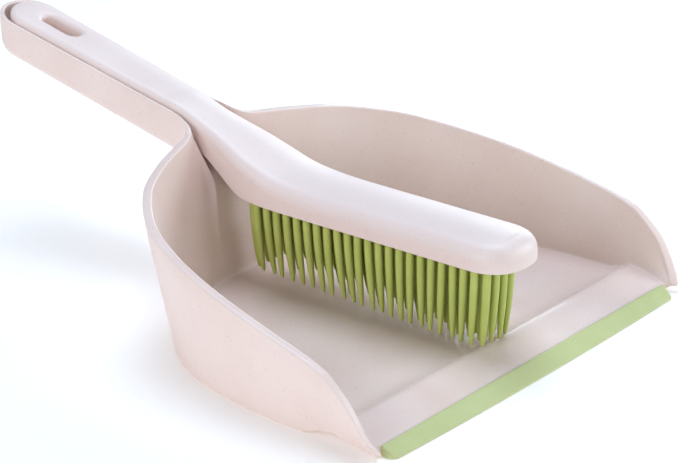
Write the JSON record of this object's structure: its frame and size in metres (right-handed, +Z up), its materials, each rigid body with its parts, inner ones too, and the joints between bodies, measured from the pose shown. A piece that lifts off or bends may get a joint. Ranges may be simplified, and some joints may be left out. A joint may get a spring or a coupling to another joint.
{
  "type": "dust pan and brush set",
  "caption": "Dust pan with a trough-shaped handle and a soft front lip, and a hand brush with soft round fingers that nests in the pan.",
  "frame": {"origin": "on the floor under the middle of the set's length and width", "axes": "+X from the handle's end towards the lip, +Z up, mirror plane of the pan at Y = 0"},
  "size_m": [0.3242, 0.2402, 0.1087],
  "materials": {
    "pan_plastic": "satin",
    "brush_plastic": "satin",
    "lip_rubber": "matt",
    "finger_rubber": "satin"
  },
  "bodies": {
    "pan": {"dust_pan": "pan_plastic", "pan_lip": "lip_rubber"},
    "brush": {"brush_shell": "brush_plastic", "bristle_pad": "finger_rubber", "finger_01": "finger_rubber", "finger_02": "finger_rubber", "finger_03": "finger_rubber", "finger_04": "finger_rubber", "finger_05": "finger_rubber", "finger_06": "finger_rubber", "finger_07": "finger_rubber", "finger_08": "finger_rubber", "finger_09": "finger_rubber", "finger_10": "finger_rubber", "finger_11": "finger_rubber", "finger_12": "finger_rubber", "finger_13": "finger_rubber", "finger_14": "finger_rubber", "finger_15": "finger_rubber", "finger_16": "finger_rubber", "finger_17": "finger_rubber", "finger_18": "finger_rubber", "finger_19": "finger_rubber", "finger_20": "finger_rubber", "finger_21": "finger_rubber", "finger_22": "finger_rubber", "finger_23": "finger_rubber", "finger_24": "finger_rubber", "finger_25": "finger_rubber", "finger_26": "finger_rubber", "finger_27": "finger_rubber", "finger_28": "finger_rubber", "finger_29": "finger_rubber", "finger_30": "finger_rubber", "finger_31": "finger_rubber", "finger_32": "finger_rubber", "finger_33": "finger_rubber", "finger_34": "finger_rubber", "finger_35": "finger_rubber", "finger_36": "finger_rubber", "finger_37": "finger_rubber", "finger_38": "finger_rubber", "finger_39": "finger_rubber", "finger_40": "finger_rubber", "finger_41": "finger_rubber", "finger_42": "finger_rubber", "finger_43": "finger_rubber", "finger_44": "finger_rubber", "finger_45": "finger_rubber", "finger_46": "finger_rubber", "finger_47": "finger_rubber", "finger_48": "finger_rubber", "finger_49": "finger_rubber", "finger_50": "finger_rubber", "finger_51": "finger_rubber", "finger_52": "finger_rubber", "inner_fingers_1": "finger_rubber", "inner_fingers_2": "finger_rubber", "inner_fingers_3": "finger_rubber"}
  },
  "joints": [
    {"name": "brush_lift", "type": "slide", "parent": "pan", "child": "brush", "axis": [0, 0, 1], "range_m": [0, 0.13]}
  ]
}
